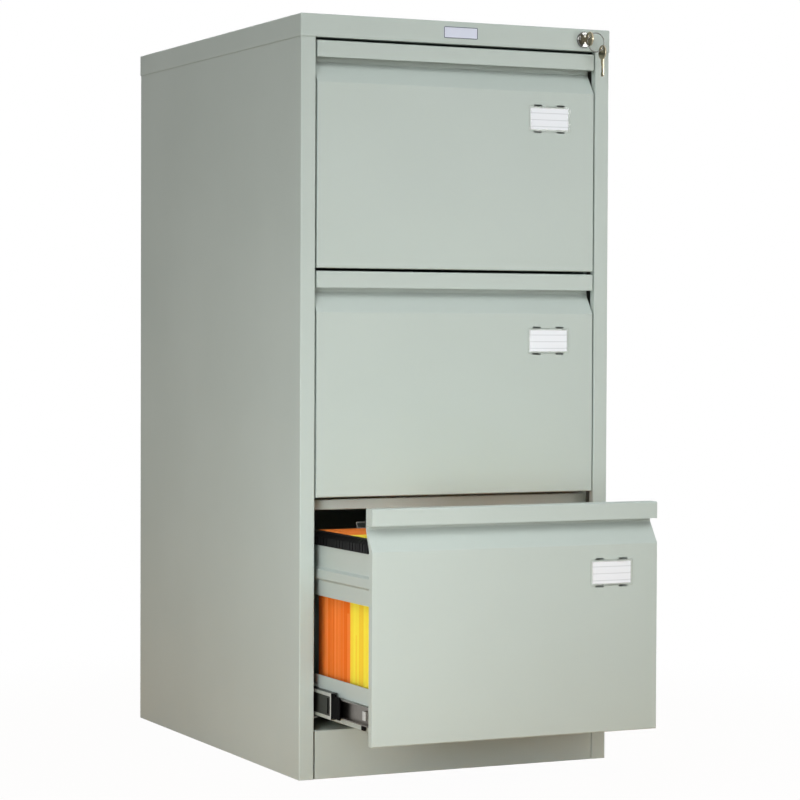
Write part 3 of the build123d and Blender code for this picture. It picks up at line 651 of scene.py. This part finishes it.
def arc(middle: Flat, radius: float, start: float, end: float, steps: int) -> list[Flat]:
    """Points along an arc.

    Args:
        middle: the arc's centre.
        radius: its radius.
        start: the angle of its first point, in degrees.
        end: the angle of its last point, in degrees.
        steps: how many chords it has.

    Returns:
        The points, from the first to the last.
    """
    angles = [math.radians(start + (end - start) * at / steps) for at in range(steps + 1)]
    return [
        (middle[0] + radius * math.cos(angle), middle[1] + radius * math.sin(angle)) for angle in angles
    ]


@dataclass
class Assembly:
    """A group of pieces that belong together on the real cabinet."""

    def dress(self) -> None:
        """Gives the CAD nodes of the group their finishes."""

    def build(self) -> None:
        """Makes the pieces that the CAD model leaves to the scene."""


@dataclass
class Carcass(Assembly):
    """The fixed body of the cabinet: panels, rails, uprights and what is screwed to them."""

    painted: tuple[str, ...] = (
        "left_side_panel",
        "right_side_panel",
        "back_panel",
        "top_cover",
        "base_panel",
        "plinth",
        "front_rails",
        "front_uprights",
        "rear_uprights",
    )
    badge_edge: float = 0.9 * MM
    badge_proud: float = 0.25 * MM
    badge_corner: float = 1.5 * MM
    corner_steps: int = 4

    def dress(self) -> None:
        """Paints the panels, plates the slides and enamels the bare plate."""
        PAINT.dress(*self.painted)
        ZINC.dress("cabinet_slides", "slide_screws", "lock_bar_clips")
        ENAMEL.dress("badge_plate")

    def build(self) -> None:
        """Frames the bare plate with its raised edge."""
        low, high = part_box("badge_plate")
        shape = bmesh.new()
        loops = [self.rounded_frame(low, high, inset) for inset in (0.0, self.badge_edge)]
        add_plate(shape, loops, upright(low.y), Vector((0, -self.badge_proud, 0)), 0.0)
        make_piece("badge_edge", shape, "cabinet", ENAMEL_EDGE, "bare_plate")

    def rounded_frame(self, low: Vector, high: Vector, inset: float) -> list[Flat]:
        """The corners of a rectangle with rounded corners, seen from the front.

        Args:
            low: the lowest corner of the box that it fits.
            high: the highest corner.
            inset: how far it lies inside the box.

        Returns:
            Its corners, in order.
        """
        reach = self.badge_corner
        middles = (
            (high.x - reach, high.z - reach),
            (low.x + reach, high.z - reach),
            (low.x + reach, low.z + reach),
            (high.x - reach, low.z + reach),
        )
        corners = []
        for middle, start in zip(middles, (0, 90, 180, 270)):
            corners += arc(middle, reach - inset, start, start + 90, self.corner_steps)
        return corners


@dataclass
class Lock(Assembly):
    """The lock in the cover, with its bar and its two cut keys."""

    bow_radius: float = 10 * MM
    bow_steps: int = 28
    hole_radius: float = 3 * MM
    hole_sides: int = 24
    hole_rise: float = 3.7 * MM
    blade_width: float = 6.6 * MM
    tip: float = 2 * MM
    cuts: tuple[float, ...] = (0.6 * MM, 1.7 * MM, 1.1 * MM, 2.1 * MM, 0.8 * MM)
    cut_pitch: float = 3 * MM
    edge_radius: float = 0.25 * MM

    def dress(self) -> None:
        """Gives the lock's metals their finishes."""
        # Both metals are darkened: painted dark reflections on the chrome, painted shade on the plug.
        DIMMED_CHROME.dress("lock_housing", "key_ring")
        DIMMED_PLUG_STEEL.dress("lock_plug")
        NICKEL.dress("key", "spare_key")
        ZINC.dress("lock_nut", "lock_bar", "lock_cam")

    def build(self) -> None:
        """Makes both keys, each with a pierced bow and a cut blade."""
        low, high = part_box("key")
        bow_y = low.y + self.bow_radius
        bow_z = (low.z + high.z) / 2
        self.make_key(
            "key",
            self.outline(high.y - bow_y),
            self.hole(0.0, self.hole_rise),
            lambda along, up: Vector((low.x, bow_y + along, bow_z + up)),
            "key",
        )
        spare_low, spare_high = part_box("spare_key")
        spare_y = (spare_low.y + spare_high.y) / 2
        spare_z = spare_high.z - self.bow_radius
        self.make_key(
            "spare_key",
            self.outline(spare_z - spare_low.z),
            self.hole(-self.hole_rise - self.hole_radius / 2, 0.0),
            lambda along, up: Vector((spare_low.x, spare_y + up, spare_z - along)),
            "spare_keys",
        )

    def outline(self, reach: float) -> list[Flat]:
        """The edge of a key: a round bow about the start, and a blade with cuts that runs to a tip.

        Args:
            reach: from the middle of the bow to the tip.

        Returns:
            The corners, along the blade and across it, in order.
        """
        half = self.blade_width / 2
        lean = math.degrees(math.asin(half / self.bow_radius))
        corners = arc((0.0, 0.0), self.bow_radius, lean, 360 - lean, self.bow_steps)
        corners += [
            (reach - self.tip, -half),
            (reach, -half / 2),
            (reach - self.tip / 2, half - self.cuts[0]),
        ]
        spot = reach - self.tip
        land = self.cut_pitch / 4
        for depth in self.cuts:
            spot -= self.cut_pitch
            corners += [(spot + land, half - depth), (spot - land, half - depth)]
        corners.append((spot - self.cut_pitch, half))
        return corners

    def hole(self, along: float, up: float) -> list[Flat]:
        """The edge of the hole in a bow, about a middle along the blade and across it."""
        last = 360 - 360 / self.hole_sides
        return arc((along, up), self.hole_radius, 0, last, self.hole_sides - 1)

    def make_key(
        self, node: str, outline: list[Flat], hole: list[Flat], place: Place, body: str
    ) -> None:
        """Makes one key in the place of its solid.

        Args:
            node: the CAD node that it replaces.
            outline: its edge.
            hole: the edge of its hole.
            place: turns a corner into a point of the key's face.
            body: the body that it rides on.
        """
        low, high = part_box(node)
        shape = bmesh.new()
        add_plate(shape, [outline, hole], place, Vector((high.x - low.x, 0, 0)), self.edge_radius)
        piece = make_piece(f"cut_{node}", shape, body, NICKEL, "key_nickel")
        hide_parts(node)


@dataclass
class Drawer(Assembly):
    """One drawer: its painted box, its slides with their plastic guides, and its label."""

    row: Row
    painted: tuple[str, ...] = ("front", "front_liner", "left_side", "right_side", "back", "bottom")
    guide_reach: float = 28 * MM
    guide_height: float = 30 * MM
    guide_thickness: float = 2 * MM
    guide_radius: float = 0.8 * MM
    nub_length: float = 14 * MM
    nub_height: float = 3 * MM
    strip_setback: float = 8 * MM
    strip_width: float = 4 * MM
    strip_radius: float = 0.1 * MM
    rib_proud: float = 0.7 * MM
    rib_height: float = 4.5 * MM
    rib_radius: float = 0.3 * MM
    end_width: float = 3 * MM
    end_proud: float = 0.3 * MM
    buffer_size: float = 6 * MM
    buffer_gap: float = 0.3 * MM
    buffer_radius: float = 1 * MM
    clip_setback: float = 19 * MM
    lug_height: float = 12 * MM
    lug_width: float = 9 * MM
    lug_depth: float = 4 * MM
    lug_inset: float = 2 * MM
    lug_radius: float = 0.5 * MM

    def dress(self) -> None:
        """Paints the box, plates the slides and rules the label card."""
        node = self.row.node
        PAINT.dress(*[node(piece) for piece in self.painted])
        SLIDE_STEEL.dress(node("inner_slides"))
        # The middle members take the darkened steel, a painted shade for their recessed webs.
        SHADED_MID_SLIDE_STEEL.dress(node("mid_slides"))
        ZINC.dress(node("outer_cages"), node("inner_cages"))
        CLEAR.dress(node("label_holder"))
        card = node("label_card")
        low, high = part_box(card)
        RuledCard(f"{self.row.value}_ruled_card", top=high.z, height=high.z - low.z).dress(card)

    def build(self) -> None:
        """Makes the slides' guides, ribs, buffers and lugs, on both sides of the drawer."""
        # The ribs and lugs take the lightened zinc, a painted highlight along the slides.
        fittings = (
            ("slide_guides", self.add_guide, "mid_slides", BLACK_PLASTIC, "black_plastic"),
            ("slide_ribs", self.add_ribs, "mid_slides", HIGHLIGHT_ZINC, "zinc_steel"),
            ("slide_buffers", self.add_buffer, "drawer", RUBBER, "black_plastic"),
            ("slide_lugs", self.add_lug, "drawer", HIGHLIGHT_ZINC, "zinc_steel"),
        )
        for name, add, body, finish, slot in fittings:
            shape = bmesh.new()
            for hand in Hand:
                add(shape, hand)
            make_piece(f"{self.row.value}_{name}", shape, self.row.body(body), finish, slot)

    def add_guide(self, shape: Shape, hand: Hand) -> None:
        """Adds the guide at the front end of one middle slide member, with the strip that grips it.

        Args:
            shape: the mesh that it joins.
            hand: the side that it is on.
        """
        low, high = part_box(self.row.node("mid_slides"))
        middle = (low.z + high.z) / 2
        half = self.guide_height / 2
        outer = hand.value * high.x
        inner = hand.value * (high.x - self.guide_thickness)
        add_block(
            shape,
            Vector((inner, low.y - self.guide_reach, middle - half)),
            Vector((outer, low.y, middle + half)),
            self.guide_radius,
        )
        add_block(
            shape,
            Vector((inner, low.y - self.nub_length, middle + half - self.nub_height)),
            Vector((outer, low.y, middle + half + self.nub_height)),
            self.guide_radius,
        )
        strip = low.y + self.strip_setback
        grip = half - self.rib_height
        proud = hand.value * (high.x + self.end_proud)
        add_block(
            shape,
            Vector((outer, strip, middle - grip)),
            Vector((proud, strip + self.strip_width, middle + grip)),
            self.strip_radius,
        )

    def add_ribs(self, shape: Shape, hand: Hand) -> None:
        """Adds the two ball tracks along one middle slide member, and its turned front end.

        Args:
            shape: the mesh that they join.
            hand: the side that they are on.
        """
        low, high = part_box(self.row.node("mid_slides"))
        outer = hand.value * high.x
        rib_face = hand.value * (high.x + self.rib_proud)
        end_face = hand.value * (high.x + self.end_proud)
        for foot in (low.z, high.z - self.rib_height):
            add_block(
                shape,
                Vector((outer, low.y, foot)),
                Vector((rib_face, high.y, foot + self.rib_height)),
                self.rib_radius,
            )
        add_block(
            shape,
            Vector((outer, low.y, low.z + self.rib_height)),
            Vector((end_face, low.y + self.end_width, high.z - self.rib_height)),
            self.strip_radius,
        )

    def add_buffer(self, shape: Shape, hand: Hand) -> None:
        """Adds the rubber buffer under one inner slide member, near its front end.

        Args:
            shape: the mesh that it joins.
            hand: the side that it is on.
        """
        low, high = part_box(self.row.node("inner_slides"))
        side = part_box(self.row.node("left_side"))[0].x
        top = low.z - self.buffer_gap
        near = low.y + self.clip_setback
        add_block(
            shape,
            Vector((hand.value * high.x, near, top - self.buffer_size)),
            Vector((hand.value * -side, near + self.lug_width, top)),
            self.buffer_radius,
        )

    def add_lug(self, shape: Shape, hand: Hand) -> None:
        """Adds the pressed lug near the front end of one inner slide member.

        Args:
            shape: the mesh that it joins.
            hand: the side that it is on.
        """
        low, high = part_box(self.row.node("inner_slides"))
        middle = (low.z + high.z) / 2
        half = self.lug_height / 2
        outer = high.x - self.lug_inset
        near = low.y + self.clip_setback
        add_block(
            shape,
            Vector((hand.value * outer, near, middle - half)),
            Vector((hand.value * (outer - self.lug_depth), near + self.lug_width, middle + half)),
            self.lug_radius,
        )


@dataclass
class FolderSet(Assembly):
    """The suspension folders in the open drawer: card pockets hung on bars with black hooks."""

    counts: dict[str, int] = field(default_factory=lambda: {"yellow": 9, "orange": 10})
    seed: int = 7
    card: float = 0.45 * MM
    bar: float = 2.6 * MM
    free: float = 1.9 * MM
    sleeve_gap: float = 0.3 * MM
    flap: float = 6 * MM
    fold_rise: float = 5 * MM
    fold_half: float = 1.5 * MM
    bow: float = 0.7 * MM
    hook_slope: float = 6 * MM
    hook_drop: float = 1.2 * MM
    hook_tip: float = 2.7 * MM
    hook_reach: float = 12 * MM
    hook_radius: float = 0.3 * MM
    hem: float = 10.3 * MM
    tab_left: float = -128 * MM
    tab_width: float = 50 * MM
    tab_height: float = 9 * MM
    tab_lean: float = 4 * MM
    tab_sheet: float = 0.6 * MM
    tab_rim: float = 1.2 * MM

    def build(self) -> None:
        """Makes the pockets of each colour, the hooks of all the bars, and two clear tabs."""
        finishes = {"yellow": YELLOW_CARD, "orange": ORANGE_CARD}
        bars_low, bars_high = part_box("folder_bars")
        bar_span = (bars_low.z, bars_high.z)
        hooks, tabs, rims = bmesh.new(), bmesh.new(), bmesh.new()
        draw = random.Random(self.seed)
        for colour, count in self.counts.items():
            low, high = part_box(f"{colour}_folders")
            pitch = (high.y - low.y + self.free) / count
            shape = bmesh.new()
            for at in range(count):
                start = low.y + at * pitch
                foot = Vector((low.x, start, low.z))
                self.add_pocket(shape, foot, high.x - low.x, bar_span, pitch, draw)
                self.add_hooks(hooks, start, pitch)
            self.add_tab(tabs, rims, high.y - self.bar, bars_high.z)
            name = f"{colour}_card_folders"
            piece = make_piece(name, shape, "bottom_drawer", finishes[colour], f"{colour}_card")
            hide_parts(f"{colour}_folders")
        piece = make_piece("folder_hooks", hooks, "bottom_drawer", HOOK_NYLON, "black_plastic")
        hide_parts("folder_bars")
        make_piece("folder_tabs", tabs, "bottom_drawer", CLEAR_TAB, "clear_plastic")
        make_piece("folder_tab_rims", rims, "bottom_drawer", CLEAR, "clear_plastic")

    def add_pocket(
        self, shape: Shape, foot: Vector, width: float, bar_span: Flat, pitch: float, draw: random.Random
    ) -> None:
        """Adds one pocket: a sheet sleeved over two bars and folded at its foot.

        Args:
            shape: the mesh that it joins.
            foot: the pocket's front left foot.
            width: its width.
            bar_span: the heights of the bars' lower and upper edges.
            pitch: the spacing of the folders.
            draw: the source of the small differences between pockets.
        """
        rear = foot.y + pitch - self.free
        lean = draw.uniform(-self.bow, self.bow)
        front_leaf = self.leaf(foot, rear, bar_span, lean)
        rear_leaf = [(foot.y + rear - y, z) for y, z in self.leaf(foot, rear, bar_span, 0.0)]
        corners = front_leaf + rear_leaf[::-1]
        path = [shape.verts.new((foot.x, y, z)) for y, z in corners]
        edges = [shape.edges.new(pair) for pair in zip(path, path[1:])]
        made = bmesh.ops.extrude_edge_only(shape, edges=edges)["geom"]
        moved = [item for item in made if isinstance(item, Vert)]
        bmesh.ops.translate(shape, verts=moved, vec=(width, 0, 0))
        faces = [item for item in made if isinstance(item, Face)]
        bmesh.ops.recalc_face_normals(shape, faces=faces)
        bmesh.ops.solidify(shape, geom=faces, thickness=self.card)

    def leaf(self, foot: Vector, rear: float, bar_span: Flat, lean: float) -> list[Flat]:
        """The path of a pocket's front leaf, seen from the side.

        Args:
            foot: the pocket's front left foot.
            rear: the pocket's rear plane.
            bar_span: the heights of the bars' lower and upper edges.
            lean: how far the middle of the leaf is pushed back.

        Returns:
            Its corners, back and up, from the edge of its hem to its fold.
        """
        bar_foot, bar_top = bar_span
        sleeve_front = foot.y - self.sleeve_gap
        sleeve_rear = foot.y + self.bar + self.sleeve_gap
        sleeve_top = bar_top + self.sleeve_gap
        return [
            (sleeve_rear, bar_foot - self.flap),
            (sleeve_rear, sleeve_top),
            (sleeve_front, sleeve_top),
            (sleeve_front, bar_foot),
            (foot.y + self.bow + lean, (bar_foot + foot.z) / 2),
            (foot.y + self.bow, foot.z + self.fold_rise),
            ((foot.y + rear) / 2 - self.fold_half, foot.z),
        ]

    def add_hooks(self, shape: Shape, start: float, pitch: float) -> None:
        """Adds the four hooks of one folder, one at each end of its two bars.

        Args:
            shape: the mesh that they join.
            start: the folder's front plane.
            pitch: the spacing of the folders.
        """
        low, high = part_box("folder_bars")
        side_low, side_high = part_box(Row.BOTTOM.node("left_side"))
        bar_foot = low.z + self.sleeve_gap
        rest = side_high.z + self.sleeve_gap
        tip_foot = side_high.z - self.hook_drop
        tip_inner = high.x - self.hook_tip
        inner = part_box("yellow_folders")[1].x - self.hook_reach
        hem_inner = -side_low.x - self.hem
        outline = [
            (inner, bar_foot),
            (hem_inner, bar_foot),
            (hem_inner, rest),
            (tip_inner, rest),
            (tip_inner, tip_foot),
            (high.x, tip_foot),
            (high.x, high.z - self.hook_slope),
            (high.x - self.hook_slope, high.z),
            (inner, high.z),
        ]
        thickness = Vector((0, self.bar, 0))
        for near in (start, start + pitch - self.free - self.bar):
            for hand in Hand:
                handed = [(hand.value * x, z) for x, z in outline]
                add_plate(shape, [handed], upright(near), thickness, self.hook_radius)

    def add_tab(self, sheet: Shape, rim: Shape, near: float, foot: float) -> None:
        """Adds a clear tab, which leans back from the top of a bar inside a thicker rim.

        Args:
            sheet: the mesh that the tab's thin sheet joins.
            rim: the mesh that its rim joins.
            near: the front plane of the bar that it stands on.
            foot: the height of the bar's upper edge.
        """
        lean = self.tab_lean / self.tab_height
        outer, inner = [
            [
                (self.tab_left + inset, inset),
                (self.tab_left + self.tab_width - inset, inset),
                (self.tab_left + self.tab_width - inset, self.tab_height - inset),
                (self.tab_left + inset, self.tab_height - inset),
            ]
            for inset in (0.0, self.tab_rim)
        ]

        def place(x: float, rise: float) -> Vector:
            """Turns a corner of the tab into a point of its front face."""
            return Vector((x, near + lean * rise, foot + rise))

        add_plate(sheet, [inner], place, Vector((0, self.tab_sheet, 0)), 0.0)
        add_plate(rim, [outer, inner], place, Vector((0, 2 * self.tab_sheet, 0)), 0.0)


def seen_rays(tree: Tree) -> Socket:
    """Gives 1 for the rays that show the background: to the eye, in a gloss and through glass.

    Args:
        tree: the nodes that it joins.

    Returns:
        The output that carries it.
    """
    path = add_node(tree, "ShaderNodeLightPath")
    seen = path.outputs["Is Camera Ray"]
    for kind in ("Is Glossy Ray", "Is Transmission Ray"):
        either = add_node(
            tree, "ShaderNodeMath", {"operation": "MAXIMUM"}, {0: seen, 1: path.outputs[kind]}
        )
        seen = either.outputs["Value"]
    return seen


@dataclass(frozen=True)
class StudioFloor(Finish):
    """A pale floor, warm near the cabinet, which shows its shadow there and is white further out."""

    near_tone: str = "#CC9440"
    far_tone: str = "#B8AC9A"
    near_reach: float = 0.5
    far_reach: float = 1.2
    near_whiteness: float = 0.975
    roughness: float = 0.9

    def shade(self, tree: Tree, shader: Node, place: Socket) -> None:
        """Sets up the floor's tones and the white that the eye sees.

        Args:
            tree: the material's nodes.
            shader: the principled shader.
            place: the point of the surface, in the object's coordinates.
        """
        shader.inputs["Roughness"].default_value = self.roughness
        length = add_node(tree, "ShaderNodeVectorMath", {"operation": "LENGTH"}, {0: place})
        reach = {"Value": length.outputs["Value"]}
        span = {"From Min": self.near_reach, "From Max": self.far_reach}
        way = add_node(tree, "ShaderNodeMapRange", span, reach)
        add_node(
            tree,
            "ShaderNodeMix",
            {"data_type": "RGBA", "A": linear(self.near_tone), "B": linear(self.far_tone)},
            {"Factor": way.outputs["Result"]},
            {"Result": shader.inputs["Base Color"]},
        )
        whiteness = {"interpolation_type": "SMOOTHSTEP", "To Min": self.near_whiteness, "To Max": 1.0}
        fade = add_node(tree, "ShaderNodeMapRange", span | whiteness, reach)
        share = add_node(
            tree,
            "ShaderNodeMath",
            {"operation": "MULTIPLY"},
            {0: fade.outputs["Result"], 1: seen_rays(tree)},
        )
        glow = add_node(tree, "ShaderNodeEmission", {"Color": linear(WHITE), "Strength": 1.0})
        add_node(
            tree,
            "ShaderNodeMixShader",
            {},
            {"Fac": share.outputs["Value"], 1: shader.outputs["BSDF"], 2: glow.outputs["Emission"]},
            {"Shader": tree.nodes["Material Output"].inputs["Surface"]},
        )


@dataclass(frozen=True)
class SoftBox:
    """A square lamp that faces the cabinet."""

    name: str
    place: Spot
    size: float
    power: float
    aim: Spot = (0.0, 0.0, 0.5)
    spread: float = 180.0

    def hang(self) -> None:
        """Hangs the lamp so that it faces its aim."""
        data = bpy.data.lights.new(self.name, "AREA")
        data.size = self.size
        data.energy = self.power
        data.spread = math.radians(self.spread)
        lamp = bpy.data.objects.new(self.name, data)
        lamp.location = self.place
        way = Vector(self.aim) - lamp.location
        lamp.rotation_euler = way.to_track_quat("-Z", "Y").to_euler()
        bpy.context.scene.collection.objects.link(lamp)


@dataclass
class Studio:
    """The floor, the soft lamps and the camera, which stand round the cabinet.

    Places are in metres, angles in degrees. The camera stands where the photographer stood.
    """

    eye: Spot = (-1.60666, -3.54997, 0.60062)
    yaw: float = 25.162
    pitch: float = -1.512
    roll: float = 0.226
    lens: float = 119.12
    floor_size: float = 40.0
    ambient: float = 0.14
    lamps: tuple[SoftBox, ...] = (
        SoftBox("front_lamp", (0.3, -3.6, 3.0), 2.0, 52),
        SoftBox("left_lamp", (-2.1, -1.9, 1.8), 1.2, 24),
        SoftBox("low_left_lamp", (-1.35, -1.75, 0.35), 0.5, 2.0, (-0.2, -0.42, 0.2), 55),
        SoftBox("right_lamp", (1.4, -2.4, 1.0), 0.6, 1.0, (0.2, -0.3, 0.85), 50),
        SoftBox("right_side_lamp", (2.8, 0.9, 1.5), 1.5, 30),
        SoftBox("back_lamp", (0.5, 3.2, 2.2), 2.0, 45),
    )

    def build(self) -> None:
        """Makes the floor, the world, the lamps and the camera."""
        scene = bpy.context.scene
        scene.view_settings.view_transform = "Standard"
        self.make_floor()
        self.make_world(scene)
        for lamp in self.lamps:
            lamp.hang()
        self.make_camera(scene)

    def make_floor(self) -> None:
        """Lays a wide floor under the cabinet."""
        shape = bmesh.new()
        bmesh.ops.create_grid(shape, x_segments=1, y_segments=1, size=self.floor_size / 2)
        floor = make_object("floor", shape)
        StudioFloor("white_studio_floor").coat(floor)

    def make_world(self, scene: bpy.types.Scene) -> None:
        """Makes a white backdrop that lights the cabinet softly.

        Args:
            scene: the scene that it surrounds.
        """
        world = bpy.data.worlds.new("white_studio")
        world.use_nodes = True
        tree = world.node_tree
        backdrop = tree.nodes["Background"]
        backdrop.inputs["Color"].default_value = linear(WHITE)
        add_node(
            tree,
            "ShaderNodeMapRange",
            {"To Min": self.ambient, "To Max": 1.0},
            {"Value": seen_rays(tree)},
            {"Result": backdrop.inputs["Strength"]},
        )
        scene.world = world

    def make_camera(self, scene: bpy.types.Scene) -> None:
        """Sets up the camera.

        Args:
            scene: the scene that it serves.
        """
        yaw, pitch, roll = (math.radians(angle) for angle in (self.yaw, self.pitch, self.roll))
        reach = math.cos(pitch)
        ahead = Vector((math.sin(yaw) * reach, math.cos(yaw) * reach, math.sin(pitch)))
        level = Vector((math.cos(yaw), -math.sin(yaw), 0))
        above = level.cross(ahead)
        right = math.cos(roll) * level + math.sin(roll) * above
        up = math.cos(roll) * above - math.sin(roll) * level
        turn = Matrix((right, up, -ahead)).transposed()
        data = bpy.data.cameras.new("camera")
        data.lens = self.lens
        camera = bpy.data.objects.new("camera", data)
        camera.matrix_world = Matrix.Translation(self.eye) @ turn.to_4x4()
        scene.collection.objects.link(camera)
        scene.camera = camera


def main() -> None:
    """Builds and dresses the cabinet, then sets up the studio round it."""
    logging.basicConfig(level=logging.INFO)
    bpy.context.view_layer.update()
    assemblies: list[Assembly] = [Carcass(), Lock(), *[Drawer(row) for row in Row], FolderSet()]
    for assembly in assemblies:
        assembly.dress()
        assembly.build()
        log.info("%s done", type(assembly).__name__)
    Studio().build()


if __name__ == "__main__":
    main()
